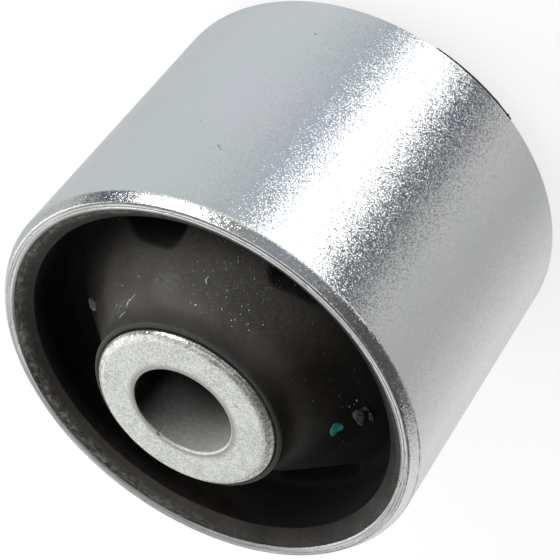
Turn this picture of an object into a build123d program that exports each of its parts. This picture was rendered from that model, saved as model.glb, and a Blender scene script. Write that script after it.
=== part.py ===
from build123d import *
import math
import os

# A rubber-metal bush: an inner steel tube for the bolt, a steel sleeve pressed into the arm's
# eye, and one rubber moulding bonded to both. The rubber carries the load along Y on two ribs
# and along X on two wide blocks; relief pockets between them make it softer.
# Frame: millimetres, +Z along the axis, origin at the centre of the tube's lower end.

# ---- driving dimensions ----------------------------------------------------------------------
sleeve_od = 62.0
sleeve_wall = 2.25
sleeve_length = 46.0
tube_od = 26.0
bolt_bore = 14.1                # clearance bore for an M14 bolt
tube_overhang = 4.8             # tube past each end of the sleeve

# Edges of the two steel pieces. Only the upper end of the sleeve leads it into the eye.
lead_in_depth = 0.95
lead_in_height = 1.4
sleeve_edge_break = 0.25
sleeve_bore_break = 0.2
tube_edge_depth = 1.0
tube_edge_height = 0.6
tube_edge_round = 0.4
bore_chamfer = 0.35

# Rubber against the tube: a lip that stops short of the tube's end, then a neck into the bell.
lip_below_tube_end = 1.05
lip_thickness = 0.85
lip_height = 3.12               # down to where it would meet the bell with no round between
lip_inner_break = 0.25
lip_round = 0.35
neck_round = 2.5
bell_slope = 48.0               # degrees below level

# Rubber against the sleeve: a lining, thinned at both ends by two bevels.
lining_thickness = 2.15
lining_below_sleeve_end = 0.25
flat_bevel_depth = 0.75
flat_bevel_height = 0.35
steep_bevel_height = 1.23
bevel_round = 0.3
groove_round = 1.5              # bottom of the groove between bell and lining

# Relief pockets, two beside each rib at both ends, blind so that a web stays between the ends.
rib_width = 12.6
web_thickness = 6.0
pocket_from_lining = 0.5        # outer wall, in from the lining's
pocket_from_tube = 4.9          # inner wall beyond the tube along Y, at the rib's side
waist_from_tube = 2.6           # the same at its nearest
flare_angle = 9.0               # degrees that the wall turns away again from there
flare_length = 6.9              # and how far, to the pocket's tip
corner_at_rib_round = 2.2
waist_round = 5.0
outer_corner_round = 1.7
tip_round = 1.2
pocket_floor_round = 1.0
pocket_mouth_round = 1.0

# ---- derived ---------------------------------------------------------------------------------
sleeve_r = sleeve_od / 2
sleeve_bore_r = sleeve_r - sleeve_wall
lining_r = sleeve_bore_r - lining_thickness
tube_r = tube_od / 2
bore_r = bolt_bore / 2
lip_r = tube_r + lip_thickness
tube_length = sleeve_length + 2 * tube_overhang
sleeve_bottom = tube_overhang
sleeve_top = tube_overhang + sleeve_length
middle = tube_length / 2
lip_top = tube_length - lip_below_tube_end
neck_z = lip_top - lip_height
groove_z = neck_z - (lining_r - lip_r) * math.tan(math.radians(bell_slope))
lining_top = sleeve_top - lining_below_sleeve_end
flat_bevel_z = lining_top - flat_bevel_height
steep_bevel_z = flat_bevel_z - steep_bevel_height
pocket_floor = middle + web_thickness / 2
pocket_outer_r = lining_r - pocket_from_lining
rib_side = rib_width / 2


def near(shape, x, y):
    """The vertex of a flat outline that lies nearest to a point."""
    return shape.vertices().sort_by_distance((x, y, 0))[0]


def rounded(shape, corners):
    """Round the corners of a flat outline, each given as (x, y, radius)."""
    for x, y, radius in corners:
        shape = fillet(near(shape, x, y), radius)
    return shape


def turned(outline):
    """Revolve an outline drawn as (radius, height) about the axis."""
    return revolve(Plane.XZ * outline, Axis.Z)


# ---- outer sleeve ----------------------------------------------------------------------------
def make_outer_sleeve():
    outline = Polygon(
        (sleeve_bore_r, sleeve_bottom + sleeve_bore_break),
        (sleeve_bore_r + sleeve_bore_break, sleeve_bottom),
        (sleeve_r - sleeve_edge_break, sleeve_bottom),
        (sleeve_r, sleeve_bottom + sleeve_edge_break),
        (sleeve_r, sleeve_top - lead_in_height),
        (sleeve_r - lead_in_depth, sleeve_top),
        (sleeve_bore_r + sleeve_bore_break, sleeve_top),
        (sleeve_bore_r, sleeve_top - sleeve_bore_break),
        align=None,
    )
    return turned(outline)


# ---- inner tube ------------------------------------------------------------------------------
def make_inner_tube():
    face_r = tube_r - tube_edge_depth
    edge_z = tube_edge_height
    outline = Polygon(
        (bore_r, bore_chamfer),
        (bore_r + bore_chamfer, 0),
        (face_r, 0),
        (tube_r, edge_z),
        (tube_r, tube_length - edge_z),
        (face_r, tube_length),
        (bore_r + bore_chamfer, tube_length),
        (bore_r, tube_length - bore_chamfer),
        align=None,
    )
    corners = [
        (face_r, 0, tube_edge_round),
        (tube_r, edge_z, tube_edge_round),
        (tube_r, tube_length - edge_z, tube_edge_round),
        (face_r, tube_length, tube_edge_round),
    ]
    return turned(rounded(outline, corners))


# ---- rubber ----------------------------------------------------------------------------------
def rubber_outline():
    """Half section of the moulding, the same at both ends, without its pockets."""
    upper = [
        (tube_r, lip_top - lip_inner_break, 0),
        (tube_r + lip_inner_break, lip_top, 0),
        (lip_r, lip_top, lip_round),
        (lip_r, neck_z, neck_round),
        (lining_r, groove_z, groove_round),
        (lining_r, steep_bevel_z, bevel_round),
        (sleeve_bore_r - flat_bevel_depth, flat_bevel_z, bevel_round),
        (sleeve_bore_r, lining_top, 0),
    ]
    lower = [(r, tube_length - z, radius) for r, z, radius in reversed(upper)]
    outline = Polygon(*[(r, z) for r, z, _ in upper + lower], align=None)
    return rounded(outline, [corner for corner in upper + lower if corner[2]])


def pocket_plan():
    """One pocket from above: x across the rib, y along it, its outer wall beside the lining."""
    flare = math.radians(flare_angle)
    waist_y = tube_r + waist_from_tube
    tip_y = waist_y + flare_length * math.sin(flare)
    tip_x = math.sqrt(pocket_outer_r**2 - tip_y**2)
    tip = (tip_x, tip_y)
    waist = (tip_x - flare_length * math.cos(flare), waist_y)
    at_rib = (rib_side, tube_r + pocket_from_tube)
    outer = (rib_side, math.sqrt(pocket_outer_r**2 - rib_side**2))
    walls = Line(at_rib, waist) + Line(waist, tip) + Line(outer, at_rib)
    walls += RadiusArc(tip, outer, -pocket_outer_r)
    corners = [
        (*at_rib, corner_at_rib_round),
        (*waist, waist_round),
        (*tip, tip_round),
        (*outer, outer_corner_round),
    ]
    return rounded(make_face(walls), corners)


def make_pocket():
    """The mould's core for one pocket at the upper end."""
    core = extrude(Plane.XY.offset(pocket_floor) * pocket_plan(), sleeve_top - pocket_floor)
    return fillet(core.faces().sort_by(Axis.Z)[0].edges(), pocket_floor_round)


def make_rubber_body():
    """Cut the pockets and round their mouths.

    A pocket's flat walls cut the bell's cone in hyperbolas, and a round set on those runs on
    round the corners and along the outer wall.
    """
    core = make_pocket()
    cores = [core, mirror(core, Plane.YZ)]
    cores += [mirror(each, Plane.XZ) for each in cores]
    cores += [mirror(each, Plane.XY.offset(middle)) for each in cores]
    body = turned(rubber_outline()) - cores
    mouths = body.edges().filter_by(GeomType.HYPERBOLA)
    return fillet(mouths, pocket_mouth_round)


os.makedirs("parts", exist_ok=True)
export_step(make_outer_sleeve(), "parts/outer_sleeve.step")
export_step(make_inner_tube(), "parts/inner_tube.step")
export_step(make_rubber_body(), "parts/rubber_body.step")
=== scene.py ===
import math

import bmesh
import bpy
import numpy as np
from mathutils import Matrix, Vector, noise
from mathutils.bvhtree import BVHTree


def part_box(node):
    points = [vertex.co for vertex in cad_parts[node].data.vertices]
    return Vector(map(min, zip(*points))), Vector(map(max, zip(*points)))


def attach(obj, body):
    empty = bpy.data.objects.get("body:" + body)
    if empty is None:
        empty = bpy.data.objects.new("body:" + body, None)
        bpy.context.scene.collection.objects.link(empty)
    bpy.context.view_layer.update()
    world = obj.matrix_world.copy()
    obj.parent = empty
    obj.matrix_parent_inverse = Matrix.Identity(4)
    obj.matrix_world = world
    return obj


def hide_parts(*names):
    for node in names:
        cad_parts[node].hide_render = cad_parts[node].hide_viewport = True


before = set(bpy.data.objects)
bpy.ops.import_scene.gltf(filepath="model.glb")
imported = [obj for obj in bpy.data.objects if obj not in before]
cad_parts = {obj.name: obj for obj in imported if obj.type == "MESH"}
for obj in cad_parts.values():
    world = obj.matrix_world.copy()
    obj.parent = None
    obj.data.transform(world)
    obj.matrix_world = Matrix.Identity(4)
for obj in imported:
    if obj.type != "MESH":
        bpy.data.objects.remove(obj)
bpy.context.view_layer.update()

# A rubber-metal bush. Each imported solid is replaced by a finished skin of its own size, and small
# pieces lie on the skins: torn rubber, flash, dirt, paint and dust.
# Sizes and places are in millimetres, and meshes are in metres. A bearing is an angle in degrees
# from -Y towards +X.
MM = 0.001
KNOCKS_SEED, MARKS_SEED, DUST_SEED, SCUFFS_SEED = 6, 21, 41, 61


# ---- the bush's sizes ------------------------------------------------
def radius_and_ends(node):
    """A node's radius and the heights of its lower and upper end."""
    low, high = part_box(node)
    return round(high.x / MM, 3), round(low.z / MM, 3), round(high.z / MM, 3)


SLEEVE_R, SLEEVE_BOTTOM, SLEEVE_TOP = radius_and_ends("outer_sleeve")
SLEEVE_BORE_R = radius_and_ends("rubber_body")[0]        # the rubber fills the sleeve
TUBE_R, _, TUBE_TOP = radius_and_ends("inner_tube")
MIDDLE = TUBE_TOP / 2
SKIN_R = SLEEVE_R - 0.01          # the shown skin lies just inside the solid's facets
LEAD_IN_FOOT, LEAD_IN_R = SLEEVE_TOP - 1.4, SLEEVE_R - 0.95
BORE_R = 7.05
# Where the round at the neck would have its corner, and how steeply the bell falls from there.
LIP_R, NECK_Z = TUBE_R + 0.85, TUBE_TOP - 4.17
BELL_SLOPE = math.radians(48)


def bell_z(r):
    """Height of the upper bell at a radius."""
    return NECK_Z - (r - LIP_R) * math.tan(BELL_SLOPE)


def outward(bearing):
    """The direction away from the axis at a bearing."""
    a = math.radians(bearing)
    return Vector((math.sin(a), -math.cos(a), 0))


def sideways(bearing):
    """The direction round the axis at a bearing."""
    a = math.radians(bearing)
    return Vector((math.cos(a), math.sin(a), 0))


def around(bearing, r, z):
    """A point in metres, from its bearing, radius and height."""
    return (outward(bearing) * r + Vector((0, 0, z))) * MM


def circle(count):
    """Angles evenly round a circle, in radians."""
    return np.linspace(0, 2 * math.pi, count + 1)[:-1]


# ---- camera ----------------------------------------------------------
# The photo's viewpoint and lens.
CAMERA_PLACE = (-86.757, -198.578, 210.0)
CAMERA_RIGHT, CAMERA_UP = (-0.88768, -0.03306, -0.45927), (0.34330, -0.71224, -0.61226)
CAMERA_LENS, CAMERA_SENSOR = 131.83, 36.0


def make_camera():
    right, up = Vector(CAMERA_RIGHT), Vector(CAMERA_UP)
    back = right.cross(up).normalized()
    right = up.cross(back).normalized()
    data = bpy.data.cameras.new("camera")
    data.lens, data.sensor_width = CAMERA_LENS, CAMERA_SENSOR
    data.clip_start, data.clip_end = 0.01, 20
    camera = bpy.data.objects.new("camera", data)
    place = Matrix((right, up, back)).transposed().to_4x4()
    place.translation = Vector(CAMERA_PLACE) * MM
    camera.matrix_world = place
    bpy.context.scene.collection.objects.link(camera)
    bpy.context.scene.camera = camera


# ---- nodes -----------------------------------------------------------
class Value:
    """What one node gives. Arithmetic on it adds the nodes that work it out."""

    def __init__(self, graph, socket):
        self.graph, self.socket = graph, socket

    def __add__(self, other):
        return self.graph.math("ADD", self, other)

    def __sub__(self, other):
        return self.graph.math("SUBTRACT", self, other)

    def __mul__(self, other):
        return self.graph.math("MULTIPLY", self, other)

    def __truediv__(self, other):
        return self.graph.math("DIVIDE", self, other)

    def __abs__(self):
        return self.graph.math("ABSOLUTE", self)

    def step(self, low, high, below=0.0, above=1.0):
        """A smooth step from one number to another, as this value goes from low to high."""
        node = self.graph.new("ShaderNodeMapRange", interpolation_type="SMOOTHSTEP")
        return self.graph.fill(node, (self, low, high, below, above))


class Graph:
    """The nodes of one material or world."""

    def __init__(self, tree):
        self.tree = tree
        tree.nodes.clear()

    def new(self, kind, **settings):
        node = self.tree.nodes.new(kind)
        for name, setting in settings.items():
            setattr(node, name, setting)
        return node

    def put(self, socket, value):
        """Give a socket a Value by a link, or a plain number or colour as its own setting."""
        if isinstance(value, Value):
            self.tree.links.new(value.socket, socket)
        elif socket.type == "RGBA":
            socket.default_value = (*value, 1)
        else:
            socket.default_value = value

    def fill(self, node, values, output=0):
        """Set a node's first inputs to some values, and return what it gives at one output."""
        for socket, value in zip(node.inputs, values):
            self.put(socket, value)
        return Value(self, node.outputs[output])

    def get(self, kind, output=0, **inputs):
        """What a new node of a kind gives at one output."""
        node = self.new(kind)
        for name, value in inputs.items():
            self.put(node.inputs[name], value)
        return Value(self, node.outputs[output])

    def math(self, operation, *values, clamp=False):
        return self.fill(self.new("ShaderNodeMath", operation=operation, use_clamp=clamp), values)

    def vector(self, operation, *values, output=0):
        return self.fill(self.new("ShaderNodeVectorMath", operation=operation), values, output)

    def split(self, vector):
        node = self.new("ShaderNodeSeparateXYZ")
        self.put(node.inputs[0], vector)
        return [Value(self, output) for output in node.outputs]

    def mix(self, share, a, b):
        """Colour a, turning to b as the share goes to one."""
        node = self.new("ShaderNodeMix", data_type="RGBA")
        for index, value in ((0, share), (6, a), (7, b)):
            self.put(node.inputs[index], value)
        return Value(self, node.outputs[2])

    def ramp(self, place, stops):
        """A colour by place along stops of (place, colour)."""
        node = self.new("ShaderNodeValToRGB")
        self.put(node.inputs[0], place)
        elements = node.color_ramp.elements
        while len(elements) < len(stops):
            elements.new(0.5)
        for element, (position, colour) in zip(elements, stops):
            element.position = position
            element.color = (*colour, 1)
        return Value(self, node.outputs[0])

    def output(self, kind, surface):
        self.put(self.new(kind).inputs["Surface"], surface)


def grey(level):
    return (level, level, level)


def dimmed(tint, level):
    return tuple(level * part for part in tint)


# ---- studio ----------------------------------------------------------
# The steel mirrors a studio painted on the world by direction. Each wall is a ring of stops, as
# (bearing, level, tint), and turns into the next one between two heights in degrees.
COOL = (0.95, 1.0, 1.02)
WARM = (1.0, 1.0, 0.98)
SLATE = (0.88, 0.95, 1.12)
DEEP_WALL = [
    (-180, .66, WARM), (-163, .74, WARM), (-157, .66, WARM), (-148, .595, WARM), (-135, .555, WARM),
    (-126, .50, WARM), (-117, .475, WARM), (-108, .455, WARM), (-100, .50, WARM), (-80, .57, WARM),
    (-61, .60, WARM), (-56, .12, SLATE), (-49, .11, SLATE), (-41, .14, SLATE), (-29.5, .18, SLATE),
    (-26, 2.2, WARM), (-9, 2.2, WARM), (-5.5, .47, SLATE), (10, .49, SLATE), (18, .54, COOL),
    (27, .615, COOL), (36, .665, COOL), (50, .682, COOL), (90, .655, COOL), (105, .615, COOL),
    (130, .62, COOL), (145, .60, WARM), (160, .63, WARM), (180, .66, WARM),
]
LOW_WALL = [
    (-180, .74, WARM), (-155, .785, WARM), (-149, .71, WARM), (-143, .665, WARM), (-135, .62, WARM),
    (-125, .59, WARM), (-118, .53, WARM), (-111, .445, WARM), (-93, .445, WARM), (-76, .485, WARM),
    (-64, .48, WARM), (-59, .13, SLATE), (-54, .13, SLATE), (-46, .18, SLATE), (-40, .24, SLATE),
    (-36.5, 2.2, WARM), (-4, 2.2, WARM),
    (-1, .50, SLATE), (12, .50, SLATE), (18, .525, COOL), (27, .56, COOL), (36, .60, COOL),
    (44, .625, COOL), (61, .637, COOL), (78, .655, COOL), (95, .627, COOL), (111, .615, COOL),
    (128, .63, COOL), (136, .655, WARM), (144, .74, WARM), (180, .74, WARM),
]
MIDDLE_WALL = [
    (-180, .95, WARM), (-165, .88, WARM), (-150, .83, WARM), (-140, .80, WARM), (-131, .73, WARM),
    (-125, .62, WARM), (-112, .48, WARM), (-107, .15, WARM), (-97, .12, WARM), (-60, .10, WARM),
    (-40, .15, WARM), (-25, .28, WARM), (0, .33, WARM), (20, .38, WARM), (27, 1.0, WARM),
    (50, 1.0, WARM), (55, .40, SLATE), (58, .17, SLATE), (72, .17, SLATE), (78, .46, WARM),
    (118, .50, WARM), (130, .66, WARM), (140, .85, WARM), (155, .80, WARM), (180, .95, WARM),
]
HIGH_WALL = [
    (-180, .60, WARM), (-160, .40, WARM), (-145, .08, WARM), (-125, .05, WARM), (-60, .09, WARM),
    (-46, .14, WARM), (-38, .27, WARM), (-33, .30, SLATE), (-18, .30, SLATE), (0, .28, WARM),
    (23, .34, WARM), (29, 1.7, WARM), (47, 1.7, WARM), (52, .60, WARM), (56, .18, SLATE),
    (67, .18, SLATE), (75, .55, WARM), (95, 1.0, WARM), (130, .95, WARM), (145, .80, WARM),
    (165, .75, WARM), (180, .60, WARM),
]
TOP_WALL = [
    (-180, .50, WARM), (-160, .20, WARM), (-140, .03, WARM), (-110, .03, WARM), (-90, .10, WARM),
    (-78, .35, WARM), (-66, .75, WARM), (-50, .90, WARM), (-15, 1.0, WARM), (20, .90, WARM),
    (60, .90, WARM), (120, .98, WARM), (148, .84, WARM), (168, .80, WARM), (180, .50, WARM),
]
# The walls above the deep one, with the heights between which each takes over.
WALLS_ABOVE = [
    (LOW_WALL, -47.2, -39.5), (MIDDLE_WALL, -14, -5), (HIGH_WALL, 12, 20), (TOP_WALL, 36, 50),
]
CEILING_LEVEL, CEILING_FROM, CEILING_FULL = 0.35, 65, 85
# Pale cards stood before the walls: from and to in bearing, from and to in height, level.
CARDS = [(-66, 24, -12, 3, .95), (84, 128, 8, 48, 1.7)]
CARD_BLUR = 2
BRIGHTEST = 3.0                   # levels are painted as shares of this, and the strength is this


def make_world():
    """The studio for all rays but the camera's, which see plain white."""
    world = bpy.data.worlds.new("studio")
    world.use_nodes = True
    nodes = Graph(world.node_tree)
    x, y, z = nodes.split(nodes.get("ShaderNodeTexCoord", "Generated"))
    angle = nodes.math("ARCTAN2", x, y * -1.0)
    turn = angle * (0.5 / math.pi) + 0.5
    bearing = angle * (180 / math.pi)
    height = nodes.math("ARCSINE", z) * (180 / math.pi)

    def wall(stops):
        places = [(at / 360 + 0.5, dimmed(tint, level / BRIGHTEST)) for at, level, tint in stops]
        return nodes.ramp(turn, places)

    def between(value, low, high):
        above_low = value.step(low - CARD_BLUR, low + CARD_BLUR)
        return above_low * value.step(high - CARD_BLUR, high + CARD_BLUR, 1, 0)

    light = wall(DEEP_WALL)
    for stops, low, high in WALLS_ABOVE:
        light = nodes.mix(height.step(low, high), light, wall(stops))
    light = nodes.mix(height.step(CEILING_FROM, CEILING_FULL), light, grey(CEILING_LEVEL / BRIGHTEST))
    for west, east, low, high, level in CARDS:
        card = between(bearing, west, east) * between(height, low, high)
        light = nodes.mix(card, light, grey(level / BRIGHTEST))
    studio = nodes.get("ShaderNodeBackground", Color=light, Strength=BRIGHTEST)
    white = nodes.get("ShaderNodeBackground", Color=grey(1), Strength=1.0)
    camera = nodes.get("ShaderNodeLightPath", "Is Camera Ray")
    both = nodes.fill(nodes.new("ShaderNodeMixShader"), (camera, studio, white))
    nodes.output("ShaderNodeOutputWorld", both)
    bpy.context.scene.world = world


LAMP_PLACE, LAMP_AIM = (740, -950, 500), (0, 0, 30)
LAMP_SIZE, LAMP_WATTS = 700, 4.0


def make_lamp():
    data = bpy.data.lights.new("lamp_key", "AREA")
    data.shape, data.size, data.energy = "DISK", LAMP_SIZE * MM, LAMP_WATTS
    lamp = bpy.data.objects.new("lamp_key", data)
    place, aim = Vector(LAMP_PLACE) * MM, Vector(LAMP_AIM) * MM
    turn = (place - aim).normalized().to_track_quat("Z", "Y").to_matrix().to_4x4()
    lamp.matrix_world = Matrix.Translation(place) @ turn
    bpy.context.scene.collection.objects.link(lamp)


PAPER = grey(0.30)
PAPER_GLOW = 0.80
FLOOR_DROP = 0.03                 # so that the floor doesn't touch the tube's end
FLOOR_SPLIT, FLOOR_R = 24.0, 3000.0
FLOOR_SIDES = 128


def make_paper():
    """Grey paper that keeps a shadow, with a glow that makes it near white where it is seen."""
    material = bpy.data.materials.new("floor_white")
    material.use_nodes = True
    nodes = Graph(material.node_tree)
    camera, glossy, through = (
        nodes.get("ShaderNodeLightPath", f"Is {kind} Ray") for kind in ("Camera", "Glossy", "Transmission"))
    seen = nodes.math("ADD", camera + glossy, through, clamp=True)
    glow = nodes.get("ShaderNodeEmission", Color=grey(1), Strength=seen * PAPER_GLOW)
    paper = nodes.get("ShaderNodeBsdfDiffuse", Color=PAPER)
    both = nodes.fill(nodes.new("ShaderNodeAddShader"), (paper, glow))
    nodes.output("ShaderNodeOutputMaterial", both)
    return material


def make_floor():
    """A wide floor with a disc set in it under the bush. The sleeve's side looks down at the floor,
    so mirror rays pass the wide part and find the studio. The disc stops them, and closes the bore."""
    under = bpy.data.materials.new("floor_under")
    under.use_nodes = True
    under.node_tree.nodes["Principled BSDF"].inputs["Base Color"].default_value = (*PAPER, 1)
    turns = [Vector((math.cos(a), math.sin(a), 0)) for a in circle(FLOOR_SIDES)]
    ahead = [(i + 1) % FLOOR_SIDES for i in range(FLOOR_SIDES)]
    ring = [(i, ahead[i], FLOOR_SIDES + ahead[i], FLOOR_SIDES + i)[::-1] for i in range(FLOOR_SIDES)]
    split = [p * FLOOR_SPLIT * MM for p in turns]
    rim = [p * FLOOR_R * MM for p in turns]
    parts = [
        ("floor", rim + split, ring, make_paper(), False),
        ("floor_under", split, [range(FLOOR_SIDES)], under, True),
    ]
    for name, points, faces, material, mirrored in parts:
        mesh = bpy.data.meshes.new(name)
        mesh.from_pydata(points, [], faces)
        mesh.materials.append(material)
        floor = bpy.data.objects.new(name, mesh)
        floor.location.z = -FLOOR_DROP * MM
        bpy.context.scene.collection.objects.link(floor)
        floor.visible_glossy = mirrored


# ---- materials -------------------------------------------------------
INPUT_NAMES = {
    "color": "Base Color", "specular_level": "Specular IOR Level", "specular_tint": "Specular Tint",
}


class Look(Graph):
    """A material in the making, with the place on the bush to work from. Its x, y, z, radius and
    height above or below the middle are in millimetres; noise and grain are scaled by the metre."""

    def __init__(self, name):
        self.material = bpy.data.materials.new(name)
        self.material.use_nodes = True
        super().__init__(self.material.node_tree)
        self.shader = self.new("ShaderNodeBsdfPrincipled")
        self.output("ShaderNodeOutputMaterial", Value(self, self.shader.outputs[0]))
        self.where = self.get("ShaderNodeTexCoord", "Object")
        self.x, self.y, self.z = (part * (1 / MM) for part in self.split(self.where))
        self.r = self.math("SQRT", self.x * self.x + self.y * self.y)
        self.height = abs(self.z - MIDDLE)

    def shade(self, **inputs):
        """Set the shader's inputs and return the material."""
        for name, value in inputs.items():
            self.put(self.shader.inputs[INPUT_NAMES.get(name, name.capitalize())], value)
        return self.material

    def noise(self, scale, detail, rough, at=None):
        settings = {"Scale": scale, "Detail": detail, "Roughness": rough}
        return self.get("ShaderNodeTexNoise", Vector=at or self.where, **settings)

    def rings(self, around_scale, across_scale):
        """A place for noise that runs in rings: pulled out round the axis, close across it."""
        east, north = self.x / self.r * around_scale, self.y / self.r * around_scale
        across = (self.r + self.z) * (across_scale * MM)
        return self.get("ShaderNodeCombineXYZ", X=east, Y=north, Z=across)

    def facing(self, bearing):
        """Cosine of the angle between a place's bearing and another."""
        out = outward(bearing)
        return (self.x * out.x + self.y * out.y) / self.r

    def near(self, place, inner, outer):
        """One close to a place, fading to nothing between two distances."""
        away = self.vector("LENGTH", self.vector("SUBTRACT", self.where, place), output="Value")
        return (away * (1 / MM)).step(inner, outer, 1, 0)

    def grain(self, scale, gentle, steep):
        """A normal for crystals of plating: each leans its own way, a few of them far."""
        colour = self.get("ShaderNodeTexVoronoi", "Color", Vector=self.where, Scale=scale)
        lean = self.vector("MULTIPLY_ADD", colour, (2, 2, 2), (-1, -1, -1))
        bend = self.vector("MULTIPLY_ADD", self.vector("MULTIPLY", lean, lean), grey(steep), grey(gentle))
        normal = self.get("ShaderNodeNewGeometry", "Normal")
        return self.vector("NORMALIZE", self.vector("MULTIPLY_ADD", lean, bend, normal))

    def bump(self, height, distance):
        return self.get("ShaderNodeBump", Height=height, Distance=distance * MM)


# Painted shade on the lead-in: bearing, the cosines where that starts and is full, how much.
LEAD_IN_SHADE = [(18, .93, .995, .36), (-142, .93, .995, .42), (155, .72, .95, .36)]


def make_sleeve_zinc():
    """Bright zinc on the sleeve: fine crystals, rubbed rings, stains, dirt at the lead-in's foot, and
    painted shade on the lead-in towards three bearings.
    """
    look = Look("bright_zinc")
    colour = look.mix(look.noise(55, 3, .55).step(.35, .65), (0.80, 0.83, 0.82), (0.83, 0.83, 0.86))
    rubbed = look.noise(1.0, 4, .65, at=look.rings(9, 260)).step(.60, .78)
    stain = look.noise(170, 5, .62).step(.62, .80)
    colour = look.mix(rubbed * .30, colour, (0.90, 0.88, 0.86))
    colour = look.mix(stain * .28, colour, (0.64, 0.62, 0.62))
    foot = abs(look.z - (LEAD_IN_FOOT + .06)).step(.06, .13, 1, 0)
    grime = foot * look.facing(-98).step(.84, .95) * look.noise(420, 3, .7).step(.38, .58)
    colour = look.mix(grime * .8, colour, grey(0.12))
    lead_in = look.z.step(LEAD_IN_FOOT + .03, LEAD_IN_FOOT + .16)
    # painted shade: the lead-in darkened towards three bearings
    for bearing, low, high, dim in LEAD_IN_SHADE:
        colour = look.mix(lead_in * look.facing(bearing).step(low, high, 0, dim), colour, grey(0.02))
    rough = look.noise(300, 3, .6).step(.3, .7, .10, .14) + stain * .06
    grain = look.grain(10000, .055, .115)
    return look.shade(color=colour, metallic=1.0, roughness=rough, normal=grain)


# Rings of bright and dull metal across the sleeve's end, as (share of the way out, level).
END_CUTS = [
    (0, .25), (.18, .30), (.28, .42), (.35, .95), (.43, .95), (.49, .38), (.55, .34), (.61, .95),
    (.70, 1.0), (.77, .50), (.85, .34), (.90, .03), (.95, .03), (.98, .65), (1, .8),
]
END_LEVEL = 0.72                  # what the rings fade towards, away from where they show
END_FROM, END_WIDTH = SLEEVE_BORE_R - 0.05, 1.4


def make_cut_zinc():
    """The sawn and turned end of the sleeve: rings of bright and dull metal, pits and smears, and darker
    near the bore towards bearing 160.
    """
    look = Look("turned_end")
    way_out = look.r * (1 / END_WIDTH) + -END_FROM / END_WIDTH
    rings = look.ramp(way_out, [(place, grey(level)) for place, level in END_CUTS])
    shown = look.facing(-23).step(.25, .75, .20, 1)
    cuts = shown * (rings - END_LEVEL) + END_LEVEL
    streak = look.noise(1.0, 3, .6, at=look.rings(2.2, 6500)).step(.32, .68)
    level = look.math("MULTIPLY", cuts, streak * .75 + .50, clamp=True)
    pits = look.noise(2300, 3, .6).step(.60, .70)
    patch = look.noise(130, 2, .5).step(.40, .62)
    colour = look.mix(level, grey(0.07), (0.95, 0.96, 0.95))
    colour = look.mix(pits * (patch * .55 + .25), colour, grey(0.10))
    # darker near the bore on the side towards bearing 160
    darker_inner_side = look.facing(160).step(.45, .85) * look.r.step(END_FROM + .1, END_FROM + 1.3, .47, .21)
    colour = look.mix(darker_inner_side, colour, grey(0.02))
    rough = level * -.12 + .42
    return look.shade(color=colour, metallic=1.0, roughness=rough, normal=look.grain(8500, .06, .12))


NICK = around(151, BORE_R + .15, TUBE_TOP - .1)      # a dark spot in a knock at the bore's edge


def make_tube_zinc():
    """Matt zinc on the tube's ends: mottled, finely creased, dirty round the bore."""
    look = Look("matt_zinc")
    broad = look.noise(430, 5, .7)
    colour = look.mix(look.noise(2900, 4, .7).step(.38, .60), (0.69, 0.72, 0.71), (0.96, 0.98, 0.96))
    speck = look.noise(1900, 5, .8).step(.66, .74)
    colour = look.mix(speck * .4, colour, (0.30, 0.30, 0.28))
    colour = look.mix(broad.step(.50, .70) * .45, colour, (0.70, 0.71, 0.64))
    crease = abs(look.noise(620, 4, .75) - .5).step(.004, .020, 1, 0)
    crease *= look.noise(310, 2, .5).step(.36, .58)
    colour = look.mix(crease * .65, colour, (0.33, 0.33, 0.30))
    dirt = look.r.step(BORE_R + .21, BORE_R + .29) * look.r.step(BORE_R + .40, BORE_R + 1.35, .75, 0)
    colour = look.mix(dirt, colour, (0.36, 0.35, 0.33))
    colour = look.mix(look.near(NICK, .16, .30), colour, grey(0.02))
    rough = broad.step(.3, .7, .42, .52)
    return look.shade(color=colour, metallic=1.0, roughness=rough, normal=look.grain(8500, .05, .12))


def make_tube_edge():
    """The tube's rolled edge: bright and scuffed on one side, dull and speckled on the other."""
    look = Look("rolled_edge")
    dull = look.facing(-110).step(.0, .8)
    speck = look.mix(look.noise(2600, 4, .75).step(.42, .58), (0.46, 0.46, 0.44), (0.96, 0.97, 0.95))
    scuff = look.noise(1.0, 4, .7, at=look.rings(14, 2600)).step(.45, .70) * (dull * -.6 + 1.0)
    colour = look.mix(scuff, look.mix(dull, (0.66, 0.66, 0.64), speck), (0.30, 0.30, 0.29))
    rough = scuff * .16 + (dull * .26 + .20)
    return look.shade(color=colour, metallic=1.0, roughness=rough, normal=look.grain(6500, .05, .12))


def make_bore_steel():
    """Drawn bore: bare steel with fine lines round it, and painted shade that makes it dark further in and
    on the side away from bearing -160.
    """
    look = Look("bore_steel")
    lines = look.noise(1.0, 3, .6, at=look.rings(8, 1900)).step(.35, .68)
    bare = look.mix(lines, (0.72, 0.71, 0.69), (0.84, 0.83, 0.81))
    # painted shade: dry is the bare, lit share; the rest turns dark deeper in and away from bearing -160
    dry = (lines * .05 + look.facing(-160)).step(-.05, 1.22) * look.height.step(15.5, 24.0)
    colour = look.mix(dry, (0.008, 0.0065, 0.006), bare)
    rough, grain = lines * -.06 + .46, look.grain(7000, .02, .05)
    return look.shade(color=colour, metallic=dry * .45, roughness=rough, normal=grain, specular_level=0.1)


SMUDGE_R, LINING_R = 16.2, SLEEVE_BORE_R - 2.75
SMUDGE = around(22, SMUDGE_R, bell_z(SMUDGE_R))          # a rubbed, dusty patch on the upper bell


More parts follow.
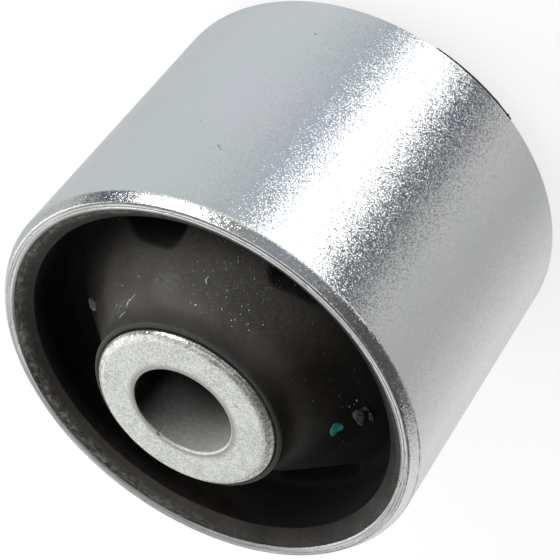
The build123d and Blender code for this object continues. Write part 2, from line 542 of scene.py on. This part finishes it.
def rubber_lining(look, bell):
    """Colour with the lining's added: painted light on the side towards bearing 85 and near black on the
    other, with chafed rings mostly on the lighter side.
    """
    lining = look.r.step(LINING_R, LINING_R + .8) * look.height.step(18.5, 21.5)
    # painted light and shade: the lining lighter towards bearing 85
    painted_lit_side = look.facing(85).step(-.5, .7)
    scored = look.noise(1.0, 4, .7, at=look.rings(17, 3300)).step(.42, .70)
    blotch = look.noise(780, 4, .7).step(.49, .60)
    chafed = look.math("MAXIMUM", scored, blotch) * look.r.step(LINING_R + 1.2, LINING_R + 2.4, .08, 1)
    chafed *= painted_lit_side * .90 + .10
    skin = look.mix(painted_lit_side, (0.0020, 0.0015, 0.0012), (0.027, 0.0248, 0.0228))
    return look.mix(lining, bell, look.mix(chafed, skin, (0.21, 0.205, 0.19)))


def rubber_neck(look, skin, bloom):
    """Colour with the neck's added: painted sheen where it swells to the lip, and a painted highlight on
    the lip's rim, both strongest towards bearing 10.
    """
    towards = look.facing(10)
    # painted sheen on the neck by the lip, mottled by the bloom
    lip = look.r.step(TUBE_R + 1.6, TUBE_R + 4.8, 1, 0) * look.height.step(20.0, 23.6)
    lip *= towards.step(.2, .9, .35, 1)
    skin = look.mix(lip * (bloom * .4 + .6), skin, (0.090, 0.085, 0.079))
    # painted highlight on the lip's rim
    rim = look.r.step(TUBE_R + 1.2, TUBE_R + 1.6, 1, 0) * look.height.step(26.45, 26.62)
    rim *= towards.step(.0, .9, .25, 1)
    return look.mix(rim, skin, (0.045, 0.043, 0.040))


def make_rubber():
    """Black rubber: bloom and rubbed dust on what hands reach, painted sheen on the bell, lining and neck,
    and painted shade near black down in the groove.
    """
    look = Look("black_rubber")
    bloom = look.noise(140, 5, .6).step(.35, .70)
    fine = look.noise(2200, 3, .6)
    skin = look.mix(bloom, (0.0010, 0.0005, 0.0003), (0.0040, 0.0029, 0.0023))
    mottle = fine.step(.34, .66) * .42 + (bloom * .30 + .44)
    # painted sheen: the rubber lighter towards bearing 12, mottled by the fine noise and the bloom
    skin = look.mix(look.facing(12).step(.15, .92) * mottle, skin, (0.056, 0.0530, 0.0490))
    skin = rubber_lining(look, skin)
    # painted sheen as well as rubbing: lighter towards bearing 44, within radius 20 and fading out by 22
    rubbed = look.facing(44).step(.84, .99) * (bloom * .5 + .5) * look.r.step(20.0, 22.0, .6, 0)
    skin = look.mix(rubbed, skin, (0.068, 0.065, 0.060))
    skin = rubber_neck(look, skin, bloom)
    smudge = look.near(SMUDGE, .4, 3.4) * look.noise(1500, 5, .75).step(.34, .66)
    skin = look.mix(smudge * .8, skin, (0.140, 0.140, 0.135))
    # painted shade: near black below a height, which is greater at the side towards bearing -142, for shade
    # deep in the groove
    shade_rises = look.facing(-142).step(.80, .97, 0, 5.0)
    above_shade = (look.height - shade_rises).step(13.5, 18.5)
    rough = fine * .10 + (bloom * .14 + (above_shade * -.40 + .82))
    wave = fine * .26 + look.noise(210, 2, .5)
    colour = look.mix(above_shade, (0.0010, 0.0007, 0.0006), skin)
    return look.shade(color=colour, roughness=rough, specular_level=0.5,
                      specular_tint=(1.0, 0.945, 0.90), normal=look.bump(wave, .22))


def make_torn_rubber():
    """Where the gate tore off: a dry, paler skin."""
    look = Look("torn_rubber")
    patches = look.noise(900, 4, .7)
    colour = look.mix(patches.step(.35, .65), (0.035, 0.034, 0.033), (0.14, 0.14, 0.135))
    return look.shade(color=colour, roughness=0.7, normal=look.bump(patches, .08))


def make_paint():
    """The inspector's teal paint, thin in places."""
    look = Look("teal_paint")
    colour = look.mix(look.noise(1100, 3, .6).step(.35, .65), (0.010, 0.25, 0.205), (0.040, 0.50, 0.41))
    return look.shade(color=colour, roughness=0.4)


def make_lint():
    """Pale dust and lint."""
    look = Look("pale_dust")
    colour = look.mix(look.noise(700, 2, .5).step(.35, .65), (0.42, 0.42, 0.41), (0.92, 0.92, 0.90))
    return look.shade(color=colour, roughness=0.9)


# ---- lathed steel ----------------------------------------------------
CORNER_STEPS = 5


def loop(corners, pitch):
    """Points along a closed section. A corner is (r, z, round) and a pitch the spacing after it."""
    points, count = [], len(corners)
    for i, (r, z, rounding) in enumerate(corners):
        here = np.array((r, z))
        next_r, next_z, next_rounding = corners[(i + 1) % count]
        to_last = np.array(corners[i - 1][:2]) - here
        to_next = np.array((next_r, next_z)) - here
        to_last /= np.linalg.norm(to_last)
        to_next /= np.linalg.norm(to_next)
        start, end = here + to_last * rounding, here + to_next * rounding
        for t in np.linspace(0, 1, CORNER_STEPS):
            points.append((1 - t) ** 2 * start + 2 * t * (1 - t) * here + t * t * end)
        next_start = np.array((next_r, next_z)) - to_next * next_rounding
        steps = max(1, int(round(np.linalg.norm(next_start - end) / pitch[i])))
        points += [end + (next_start - end) * t for t in np.arange(1, steps) / steps]
    return np.array(points)


def waves(turns, rows, spread_round, spread_along, seed, height, level):
    """Smooth random relief that closes round the turn, of a height about a level."""
    rough = np.random.default_rng(seed).standard_normal((turns, rows))
    rate_round, rate_along = np.fft.fftfreq(turns)[:, None], np.fft.fftfreq(rows)[None, :]
    keep = np.exp(-2 * np.pi**2 * ((rate_round * spread_round) ** 2 + (rate_along * spread_along) ** 2))
    smooth = np.fft.ifft2(np.fft.fft2(rough) * keep).real
    return smooth / smooth.std() * height + level


def show(piece, node=None):
    """Put a piece into the scene, on the bush's one body, in place of the node that it stands for."""
    bpy.context.scene.collection.objects.link(piece)
    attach(piece, "root")
    if node:
        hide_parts(node)


def quad_mesh(name, places, faces):
    """A smooth mesh from arrays of points and quads."""
    mesh = bpy.data.meshes.new(name)
    mesh.vertices.add(len(places))
    mesh.vertices.foreach_set("co", places.astype(np.float32).ravel())
    mesh.loops.add(faces.size)
    mesh.loops.foreach_set("vertex_index", faces.astype(np.int32).ravel())
    mesh.polygons.add(len(faces))
    mesh.polygons.foreach_set("loop_start", np.arange(0, faces.size, 4, dtype=np.int32))
    mesh.update(calc_edges=True)
    mesh.validate()
    mesh.shade_smooth()
    return mesh


def lathe(name, points, turns, relief, finishes, node):
    """Turn a section into a closed mesh, pushed in along its normals by relief(bearing, r, z).
    Each finish is a material and where it goes, by r and z; the first that fits is taken."""
    r, z = points.T
    if (r * np.roll(z, -1) - np.roll(r, -1) * z).sum() < 0:
        points = points[::-1]
    ahead, behind = np.roll(points, -1, 0), np.roll(points, 1, 0)
    along = ahead - behind
    normal = np.stack([along[:, 1], -along[:, 0]], 1)
    normal /= np.linalg.norm(normal, axis=1)[:, None]
    bearing = np.arange(turns) * 360 / turns - 180
    push = np.minimum(relief(bearing, points[:, 0], points[:, 1]), 0)
    r = points[:, 0] + push * normal[:, 0]
    z = points[:, 1] + push * normal[:, 1]
    a = np.radians(bearing)[:, None]
    places = np.stack([r * np.sin(a), -r * np.cos(a), z], -1).reshape(-1, 3) * MM
    rows = len(points)
    i, k = np.meshgrid(np.arange(turns), np.arange(rows), indexing="ij")
    i2, k2 = (i + 1) % turns, (k + 1) % rows
    faces = np.stack([i * rows + k, i2 * rows + k, i2 * rows + k2, i * rows + k2], -1).reshape(-1, 4)
    mesh = quad_mesh(name, places, faces)
    middle = (points + ahead) / 2
    choice = np.zeros(rows, dtype=np.int32)
    for material, fits in reversed(finishes):
        mesh.materials.append(material)
        choice = np.where(fits(*middle.T), len(mesh.materials) - 1, choice)
    mesh.polygons.foreach_set("material_index", np.tile(choice, turns).astype(np.int32))
    show(bpy.data.objects.new(name, mesh), node)


def dents(bearing, along, knocks):
    """Relief of knocks: (bearing, place along the section, half width in degrees, half length, depth)."""
    total = np.zeros((len(bearing), len(along)))
    for at, place, wide, long, deep in knocks:
        off = (bearing - at + 180) % 360 - 180
        total -= deep * np.exp(-((off / wide) ** 2))[:, None] * np.exp(-(((along - place) / long) ** 2))
    return total


def random_knocks(rng, count, *ranges):
    """Knocks all round, each number of theirs drawn from its range."""
    return [tuple(rng.uniform(*limits) for limits in ((-180, 180), *ranges)) for _ in range(count)]


SLEEVE_SECTION = [
    (SLEEVE_BORE_R, SLEEVE_BOTTOM + .2, .08), (SLEEVE_BORE_R + .2, SLEEVE_BOTTOM, .08),
    (SLEEVE_R - .25, SLEEVE_BOTTOM, .12), (SKIN_R, SLEEVE_BOTTOM + .25, .12),
    (SKIN_R, LEAD_IN_FOOT, .42), (LEAD_IN_R, SLEEVE_TOP, .12),
    (SLEEVE_BORE_R + .2, SLEEVE_TOP, .05), (SLEEVE_BORE_R, SLEEVE_TOP - .2, .06),
]
SLEEVE_PITCH = [.2, .3, .2, 2.4, .11, .05, .1, 4.0]
SLEEVE_TURNS = 960
# Waves on the skins: spread round and along, seed, height and level.
END_BROAD, END_FINE = (22, .9, 1, .008, -.010), (3.0, 1.2, 2, .004, 0)
LEAD_IN_WAVES, LOWER_END_WAVES = (4.0, 3.0, 3, .003, -.004), (10, 1.0, 4, .008, 0)
RAGGED_WAVES, RAGGED_DEPTH = (5.0, 1, 5, .5, .6), .03
TUBE_END_WAVES, TUBE_EDGE_WAVES = (3, 2, 11, .002, -.003), (8, 1.5, 12, .004, -.006)
# Random knocks: how many, then the ranges of place, half width in degrees, half length and depth.
END_KNOCKS = (70, (SLEEVE_BORE_R + .45, SLEEVE_BORE_R + 1.35), (.25, .9), (.08, .25), (.02, .07))
LEAD_IN_KNOCKS = (60, (LEAD_IN_FOOT - .1, SLEEVE_TOP - .2), (.2, .7), (.1, .3), (.01, .04))


def sleeve_relief(bearing, r, z):
    """Turning marks and a ragged arris on the sleeve's ends, small knocks there and on the lead-in."""
    size = len(bearing), len(r)
    upper_face = (z > SLEEVE_TOP - .03).astype(float)
    lower_face = (z < SLEEVE_BOTTOM + .03).astype(float)
    lead_in = ((z > LEAD_IN_FOOT - .05) & (r > LEAD_IN_R - .05)).astype(float)
    arris = np.exp(-(((r - (LEAD_IN_R - .03)) / .07) ** 2)) * (z > SLEEVE_TOP - .3)
    push = waves(*size, *END_BROAD) * upper_face
    push += waves(*size, *END_FINE) * upper_face
    push += waves(*size, *LEAD_IN_WAVES) * lead_in
    push += waves(*size, *LOWER_END_WAVES) * lower_face
    ragged = waves(len(bearing), 1, *RAGGED_WAVES)
    push -= np.clip(ragged, 0, 2) * RAGGED_DEPTH * arris
    rng = np.random.default_rng(KNOCKS_SEED)
    push += dents(bearing, r, random_knocks(rng, *END_KNOCKS)) * (z > SLEEVE_TOP - .4)
    return push + dents(bearing, z, random_knocks(rng, *LEAD_IN_KNOCKS)) * lead_in


def make_sleeve():
    near_end = SLEEVE_TOP - MIDDLE - .4
    finishes = [
        (make_cut_zinc(), lambda r, z: (r < LEAD_IN_R - .01) & (abs(z - MIDDLE) > near_end)),
        (make_sleeve_zinc(), lambda r, z: r > 0),
    ]
    points = loop(SLEEVE_SECTION, SLEEVE_PITCH)
    lathe("sleeve_shell", points, SLEEVE_TURNS, sleeve_relief, finishes, "outer_sleeve")


# The upper half of the tube's section; the lower half is its mirror image.
TUBE_SECTION = [
    (BORE_R, TUBE_TOP - .22, .07), (BORE_R + .25, TUBE_TOP, .12), (TUBE_R - 1.0, TUBE_TOP, .35),
    (TUBE_R - .28, TUBE_TOP - .32, .2), (TUBE_R, TUBE_TOP - .75, .12),
]
TUBE_PITCH = [.12, .2, .12, .12, 5.0, .12, .12, .2, .12, 2.0]
TUBE_TURNS = 720
TUBE_KNOCKS = [(150, BORE_R + .10, 1.5, .25, .15), (96, TUBE_R - .4, 1.0, .3, .05)]


def tube_relief(bearing, r, z):
    """The tube's ends a little uneven, more so at the rolled edge, with knocks in the upper one."""
    size = len(bearing), len(r)
    end = (abs(z - MIDDLE) > MIDDLE - .6).astype(float)
    edge = ((r > TUBE_R - 1.1) & (end > 0)).astype(float)
    push = waves(*size, *TUBE_END_WAVES) * end
    push += waves(*size, *TUBE_EDGE_WAVES) * edge
    return push + dents(bearing, r, TUBE_KNOCKS) * (z > TUBE_TOP - .6)


def make_tube():
    lower = [(r, TUBE_TOP - z, rounding) for r, z, rounding in reversed(TUBE_SECTION)]
    finishes = [
        (make_bore_steel(), lambda r, z: r < BORE_R + .12),
        (make_tube_edge(), lambda r, z: r > TUBE_R - .85),
        (make_tube_zinc(), lambda r, z: r > 0),
    ]
    points = loop(TUBE_SECTION + lower, TUBE_PITCH)
    lathe("tube_core", points, TUBE_TURNS, tube_relief, finishes, "inner_tube")


# ---- the rubber moulding ---------------------------------------------
LONGEST_EDGE = 1.5
SHARPEST_BEND = math.radians(35)
# The round at the neck swells away from its corner, less and less between two distances.
NECK_SWELL, SWELL_FROM, SWELL_TO = 0.8, 0.9, 4.0
# One pocket's mouth is a little narrower than its neighbours'. Its bearing and half width in degrees,
# its radii with how far each end fades, and how far out and down the rubber goes.
NARROW_BEARING, NARROW_HALF = -30, 13
NARROW_FROM, FADE_IN, NARROW_TO, FADE_OUT = 16.5, 2.5, 27, 4.5
NARROW_OUT, NARROW_DOWN = 0.36, 0.40
# Waves of the moulding's skin: (height, size), about a level.
MOULD_WAVES, MOULD_LEVEL = [(.022, 3.1), (.008, .9)], -.016


def bonded(edge):
    """Whether an edge lies on one of the two walls bonded to steel, which nobody sees."""
    r = [math.hypot(v.co.x, v.co.y) / MM for v in edge.verts]
    return max(r) < TUBE_R + .05 or min(r) > SLEEVE_BORE_R - .05


def swollen_neck(r, z):
    """A place's radius and height once the round at the neck has swollen."""
    dr, dz = r - LIP_R, abs(z - MIDDLE) + MIDDLE - NECK_Z
    away = math.hypot(dr, dz)
    if away >= SWELL_TO or r <= TUBE_R + .1 or dz >= 2.6:
        return r, z
    t = min(1, max(0, (away - SWELL_FROM) / (SWELL_TO - SWELL_FROM)))
    swell = 1 + NECK_SWELL * (1 - t) ** 2
    up = 1 if z > MIDDLE else -1
    return LIP_R + dr * swell, MIDDLE + up * (NECK_Z + dz * swell - MIDDLE)


def narrower_pocket(bearing, r, z):
    """A place's radius and height once the one upper pocket has been narrowed."""
    if z <= MIDDLE or not NARROW_FROM < r < NARROW_TO:
        return r, z
    across = min(1, (r - NARROW_FROM) / FADE_IN) * min(1, (NARROW_TO - r) / FADE_OUT)
    share = across * math.exp(-(((bearing - NARROW_BEARING) / NARROW_HALF) ** 2))
    return r + NARROW_OUT * share, z - NARROW_DOWN * share


def split_long_edges(bm):
    """Split the moulding's long triangles where they show, so that its skin can be shaped."""
    for _ in range(6):
        long = [e for e in bm.edges if e.calc_length() > LONGEST_EDGE * MM and not bonded(e)]
        if not long:
            break
        bmesh.ops.subdivide_edges(bm, edges=long, cuts=1, use_grid_fill=False)
        bmesh.ops.triangulate(bm, faces=[f for f in bm.faces if len(f.verts) > 3])


def make_rubber_body(rubber):
    """The moulding as it came out of the mould: a little uneven, with a full round at the neck.
    Returns its surface, for the dust to lie on."""
    bm = bmesh.new()
    bm.from_mesh(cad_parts["rubber_body"].data)
    bmesh.ops.remove_doubles(bm, verts=bm.verts, dist=1e-6)
    split_long_edges(bm)
    bm.normal_update()
    for v in bm.verts:
        x, y, z = v.co / MM
        bearing = math.degrees(math.atan2(x, -y))
        r, z = swollen_neck(math.hypot(x, y), z)
        r, z = narrower_pocket(bearing, r, z)
        place = outward(bearing) * r + Vector((0, 0, z))
        if TUBE_R + .9 < r < SLEEVE_BORE_R - .4:
            push = sum(height * noise.noise(place / size) for height, size in MOULD_WAVES) + MOULD_LEVEL
            place += v.normal * min(0, push)
        v.co = place * MM
    mesh = bpy.data.meshes.new("rubber_moulding")
    bm.to_mesh(mesh)
    surface = BVHTree.FromBMesh(bm)
    bm.free()
    mesh.shade_smooth()
    mesh.set_sharp_from_angle(angle=SHARPEST_BEND)
    mesh.materials.append(rubber)
    piece = bpy.data.objects.new("rubber_moulding", mesh)
    weighted = piece.modifiers.new("even_shading", "WEIGHTED_NORMAL")
    weighted.keep_sharp = True
    show(piece, "rubber_body")
    return surface


# ---- small things on the rubber --------------------------------------
def bell_frame(bearing, r):
    """Place on the upper bell: its point, outward normal, and the directions down it and round it."""
    out, up = outward(bearing), Vector((0, 0, 1))
    down = out * math.cos(BELL_SLOPE) - up * math.sin(BELL_SLOPE)
    normal = out * math.sin(BELL_SLOPE) + up * math.cos(BELL_SLOPE)
    return around(bearing, r, bell_z(r)), normal, down, sideways(bearing)


def add_piece(name, bm, material):
    """Put a bmesh into the scene as a piece of one material."""
    mesh = bpy.data.meshes.new(name)
    bmesh.ops.recalc_face_normals(bm, faces=bm.faces)
    bm.to_mesh(mesh)
    bm.free()
    mesh.shade_smooth()
    mesh.materials.append(material)
    show(bpy.data.objects.new(name, mesh))


def blob(bm, place, axes, sizes, rough, rng, detail=1):
    """A lump: a ball stretched along three axes, its surface pushed about."""
    for v in bmesh.ops.create_icosphere(bm, subdivisions=detail, radius=1.0)["verts"]:
        c = v.co.normalized() * (1 + rng.uniform(-rough, rough))
        v.co = place + sum((axis * (c[i] * sizes[i] * MM) for i, axis in enumerate(axes)), Vector())


def skin_rings(bm, rings):
    """Faces between rings of points, closed by a cap at each end."""
    rings = [[bm.verts.new(p) for p in ring] for ring in rings]
    count = len(rings[0])
    for a, b in zip(rings, rings[1:]):
        for i in range(count):
            bm.faces.new((a[i], a[(i + 1) % count], b[(i + 1) % count], b[i]))
    bm.faces.new(rings[0][::-1])
    bm.faces.new(rings[-1])


def bell_layers(outline, middle, layers, ragged):
    """Rings over an outline in (bearing, radius) on the bell, one for each (share of its size,
    height). Each point's height is multiplied by ragged(height)."""
    rings = []
    for share, height in layers:
        ring = []
        for place in outline:
            point, normal, _, _ = bell_frame(*(middle + (place - middle) * share))
            ring.append(point + normal * (height * ragged(height)) * MM)
        rings.append(ring)
    return rings


LEAF_SHARES, LEAF_RAGGED = (1.0, .97, .86, .45), .22


def leaf(bm, outline, heights, rng):
    """A torn sliver on the bell, from its outline and the heights of its foot, shoulders and crown."""
    dense = []
    for a, b in zip(outline, outline[1:] + outline[:1]):
        dense += [np.array(a) + (np.array(b) - np.array(a)) * t for t in (0, .25, .5, .75)]

    def ragged(height):
        return 1 + rng.uniform(-LEAF_RAGGED, LEAF_RAGGED) * (height > 0)

    layers = zip(LEAF_SHARES, heights)
    skin_rings(bm, bell_layers(dense, np.mean(outline, axis=0), layers, ragged))


NUB_BEARING, NUB_R, NUB_LIFT, NUB_SIDES = 85.2, 19.2, 0.22, 40
NUB_AXIS_OUT, NUB_AXIS_UP = 0.5, 0.866
# The nub's rings from its foot to the middle of its crown: radius and height.
NUB_RINGS = [(1.0, -.8), (.95, .10), (.90, .22), (.84, .26), (.72, .24), (.58, .17), (.25, .15)]
# The gate's two leaves and the bridge between them, in (bearing, radius), with their heights.
GATE_MAIN = [(-89.6, 19.43), (-87.8, 19.76), (-88.2, 20.27), (-90.6, 20.54), (-97.4, 20.70),
             (-97.2, 20.40), (-95.0, 19.99), (-92.0, 19.59)]
GATE_SECOND = [(-91.2, 20.95), (-90.8, 21.20), (-93.7, 21.48), (-95.3, 21.63), (-95.9, 21.40),
               (-94.4, 21.10)]
GATE_BRIDGE = [(-88.6, 20.22), (-87.7, 20.35), (-87.7, 20.72), (-89.0, 21.02), (-91.0, 21.12),
               (-90.6, 20.90), (-89.1, 20.72), (-88.9, 20.45)]
GATE = [(GATE_MAIN, (-.2, .30, .52, .50)), (GATE_SECOND, (-.2, .28, .46, .40)),
        (GATE_BRIDGE, (-.2, .12, .22, .20))]
# Flash at the sleeve's lower edge: its middle and half length in bearing, and how far it grows.
FLASH = [(-33, 13, .055), (-44.6, .5, .17), (-39.9, 1.2, .10), (128, 6, .06), (63, 3, .07)]
FLASH_LEAST, FLASH_VARIES, FLASH_STEPS = .01, (.6, 1.2), 25
# A cut through it, measured from the sleeve's lower edge, with whether it grows at that corner.
FLASH_SECTION = [(-.8, .04, 0), (-.25, .04, 0), (-.07, .15, 0), (-.03, .14, 1), (-.01, .02, 1),
                 (-.4, -.06, 0), (-.8, -.04, 0)]


def make_vent_nub(torn, rng):
    """The stub left by a vent: a short pin with a hollow crown, leaning outward."""
    place, _, _, round_ = bell_frame(NUB_BEARING, NUB_R)
    axis = outward(NUB_BEARING) * NUB_AXIS_OUT + Vector((0, 0, NUB_AXIS_UP))
    side = axis.cross(round_).normalized()
    rings = []
    for radius, height in NUB_RINGS:
        ring = []
        for t in circle(NUB_SIDES):
            wobble = 1 + .05 * math.sin(3 * t + 1) + rng.uniform(-.02, .02)
            out = (round_ * math.cos(t) + side * math.sin(t)) * radius * wobble
            up = axis * (height + rng.uniform(-.015, .015) + NUB_LIFT)
            ring.append(place + (out + up) * MM)
        rings.append(ring)
    bm = bmesh.new()
    skin_rings(bm, rings)
    add_piece("vent_nub", bm, torn)


def make_torn_gate(torn, rng):
    """Slivers that stand up where the gate tore off."""
    bm = bmesh.new()
    for outline, heights in GATE:
        leaf(bm, outline, heights, rng)
    add_piece("torn_gate", bm, torn)


def make_flash(rubber, rng):
    """Thin rubber that crept out over the edge of the sleeve's lower end."""
    bm = bmesh.new()
    for middle, half, grow in FLASH:
        rings = []
        for t in np.linspace(-1, 1, FLASH_STEPS):
            bulge = max(FLASH_LEAST, (1 - t * t) * grow * rng.uniform(*FLASH_VARIES))
            rings.append([around(middle + t * half, SLEEVE_R + out + grows * bulge, SLEEVE_BOTTOM + up)
                          for out, up, grows in FLASH_SECTION])
        skin_rings(bm, rings)
    add_piece("rubber_flash", bm, rubber)


PAINT_OUTLINE = [
    (-93.0, 17.86), (-93.2, 18.16), (-94.2, 18.47), (-95.9, 18.76), (-97.7, 18.84), (-98.6, 18.70),
    (-98.9, 18.40), (-99.6, 18.24), (-101.0, 18.26), (-101.7, 18.08), (-101.2, 17.84), (-99.6, 17.66),
    (-97.4, 17.56), (-95.6, 17.60), (-94.1, 17.68),
]
PAINT_MIDDLE = np.array((-96.8, 18.15))
PAINT_LAYERS = [(1.0, -.08), (1.0, .004), (.93, .03), (.75, .05), (.4, .065)]


def rounded(outline):
    """A smooth closed curve through an outline's points, four steps to each."""
    points, count = np.array(outline), len(outline)
    smooth = []
    for i in range(count):
        p0, p1, p2, p3 = (points[(i + k) % count] for k in (-1, 0, 1, 2))
        for t in (0, .25, .5, .75):
            smooth.append(.5 * (2 * p1 + (p2 - p0) * t + (2 * p0 - 5 * p1 + 4 * p2 - p3) * t**2
                                + (3 * p1 - p0 - 3 * p2 + p3) * t**3))
    return smooth


def make_paint_dot(paint):
    """The inspector's touch of paint: a thin domed film that follows the bell, with a short tail."""
    outline = rounded(PAINT_OUTLINE)
    bm = bmesh.new()
    skin_rings(bm, bell_layers(outline, PAINT_MIDDLE, PAINT_LAYERS, lambda height: 1))
    add_piece("paint_dot", bm, paint)


# Bits of dust that show one by one: bearing, radius, size.
DUST = [
    (8.9, 18.33, .11), (-3.5, 18.52, .13), (-5.7, 19.84, .07), (-6.7, 19.45, .08), (-15.2, 18.9, .11),
    (1.2, 17.97, .07), (7.7, 16.27, .08), (6.3, 15.61, .10), (-6.5, 17.23, .09), (-7.8, 16.9, .12),
    (-8.7, 16.38, .08), (-4.2, 16.19, .08), (6.4, 14.83, .12), (3.4, 14.76, .13), (-0.9, 14.36, .09),
    (-9.4, 15.33, .12), (-16.0, 14.9, .10), (-17.3, 15.1, .10), (-16.7, 16.37, .08), (-18.6, 16.78, .10),
    (-20.3, 16.42, .12), (-18.2, 15.74, .09), (-23.5, 15.47, .11), (-14.5, 15.33, .07), (-17.9, 14.48, .08),
    (-19.1, 17.95, .08), (51.2, 16.7, .10), (38.9, 16.86, .11), (-25.7, 15.08, .09), (-29.1, 16.19, .09),
    (-83.0, 19.86, .13), (-85.1, 19.16, .11), (-84.1, 18.95, .06), (-84.6, 19.61, .06), (-6.3, 19.6, .09),
]
# Finer bits: how many, their bearings, and the ranges of radius and size. Some gather round a middle
# bearing, thinning out from it, and others lie evenly between two bearings.
GATHERED_DUST = (150, (-5, 15), (14.6, 21.5), (.025, .055))
EVEN_DUST = (70, (-125, 75), (14.5, 23), (.02, .045))
# Light rubs on the bell: bearing, radius, length and width.
RUBS = [
    (47.2, 14.96, .7, .11), (48.3, 14.72, .6, .08), (55.4, 14.98, .7, .07), (51.7, 13.98, 1.0, .12),
    (54.1, 13.98, .8, .10), (58.6, 15.29, .6, .06), (53.2, 15.08, .9, .07), (44.9, 15.09, .6, .05),
    (42.6, 15.30, .5, .05), (56.9, 14.62, .5, .06),
]
RUB_CRUMBS = 9
# A fibre's way over the bell, in (bearing, radius), and its half thickness, taper, lift and sides.
FIBRE = [(1.9, 17.42), (2.5, 17.25), (2.7, 17.07), (2.5, 16.9), (2.0, 16.78), (1.3, 16.72)]
FIBRE_THICK, FIBRE_TAPER, FIBRE_LIFT, FIBRE_SIDES = .12, .4, .05, 8


def add_bits(bm, surface, rng):
    """Bits of dust on the bell: flattened lumps, each turned its own way."""
    spots = list(DUST)
    for draw, (count, bearings, radii, sizes) in ((rng.normal, GATHERED_DUST), (rng.uniform, EVEN_DUST)):
        for _ in range(count):
            spots.append((draw(*bearings), rng.uniform(*radii), rng.uniform(*sizes)))
    for bearing, r, size in spots:
        place, normal, down, round_ = bell_frame(bearing, r)
        place = surface.find_nearest(place)[0]
        turn = rng.uniform(0, math.pi)
        across = down * math.cos(turn) + round_ * math.sin(turn)
        sizes = (size * rng.uniform(.9, 1.5), size * rng.uniform(.6, 1.0), size * .6)
        blob(bm, place + normal * size * .3 * MM, (across, normal.cross(across), normal), sizes, .3, rng)


def add_rubs(bm, surface, rng):
    """Rubs on the bell: rows of flat crumbs along slanting strokes."""
    for bearing, r, length, width in RUBS:
        place, normal, down, round_ = bell_frame(bearing, r)
        along = (round_ * .82 - down * .57).normalized()
        for t in np.linspace(-.5, .5, RUB_CRUMBS):
            at = place + (along * t * length + normal.cross(along) * rng.normal(0, width * .6)) * MM
            at, normal = surface.find_nearest(at)[:2]
            side = normal.cross(along).normalized()
            sizes = (rng.uniform(.06, .13), width * .5, .022)
            blob(bm, at, (side.cross(normal), side, normal), sizes, .3, rng)


def make_dust(lint, surface):
    rng = np.random.default_rng(DUST_SEED)
    bm = bmesh.new()
    add_bits(bm, surface, rng)
    add_rubs(bm, surface, rng)
    add_piece("dust", bm, lint)


def make_lint_thread(lint, surface):
    """A short curled fibre on the bell, thickest in its middle."""
    half = (len(FIBRE) - 1) / 2
    rings = []
    for k, (bearing, r) in enumerate(FIBRE):
        place, normal, _, round_ = bell_frame(bearing, r)
        place = surface.find_nearest(place)[0]
        thick = FIBRE_THICK * (1 - FIBRE_TAPER * abs(k / half - 1))
        ring = []
        for t in circle(FIBRE_SIDES):
            up = normal * (FIBRE_LIFT + math.sin(t) * thick)
            ring.append(place + (up + round_ * math.cos(t) * thick) * MM)
        rings.append(ring)
    bm = bmesh.new()
    skin_rings(bm, rings)
    add_piece("lint_thread", bm, lint)


# Knocks on the sleeve: bearing, height, and how far each reaches round and along.
SCUFFS = [
    (7.5, 12.2, .16, .22), (7.2, 38.9, .18, .10), (7.9, 38.5, .34, .09), (8.6, 38.2, .20, .07),
    (-1.0, 19.5, .10, .10), (17.5, 34.0, .12, .08), (41.0, 22.0, .10, .07), (63.0, 41.5, .14, .08),
    (-71.0, 29.7, .10, .12), (-58.0, 20.1, .12, .09), (-82.0, 32.4, .09, .16), (147, 30, .2, .1),
    (-160, 17, .12, .2), (118, 12, .16, .09), (-128, 40, .1, .14),
]


SCUFF_SUNK, SCUFF_THICK = 0.012, 0.02


def make_scuffs(torn):
    """Specks of dirt caught in knocks of the plating, thin enough to lie inside the solid's facets."""
    rng = np.random.default_rng(SCUFFS_SEED)
    bm = bmesh.new()
    for bearing, z, wide, tall in SCUFFS:
        out = outward(bearing)
        turn = rng.uniform(-.5, .5)
        along = sideways(bearing) * math.cos(turn) + Vector((0, 0, math.sin(turn)))
        place = around(bearing, SKIN_R - SCUFF_SUNK, z)
        axes, sizes = (along, out.cross(along), out), (wide, tall, SCUFF_THICK)
        blob(bm, place, axes, sizes, .3, rng, detail=2)
    add_piece("sleeve_scuffs", bm, torn)


make_camera()
make_world()
make_lamp()
make_floor()

rubber = make_rubber()
rubber_surface = make_rubber_body(rubber)
make_sleeve()
make_tube()
torn_rubber = make_torn_rubber()
marks_rng = np.random.default_rng(MARKS_SEED)
make_vent_nub(torn_rubber, marks_rng)
make_torn_gate(torn_rubber, marks_rng)
make_flash(rubber, marks_rng)
make_scuffs(torn_rubber)
make_paint_dot(make_paint())
lint = make_lint()
make_dust(lint, rubber_surface)
make_lint_thread(lint, rubber_surface)

bpy.context.scene.view_settings.view_transform = "Standard"
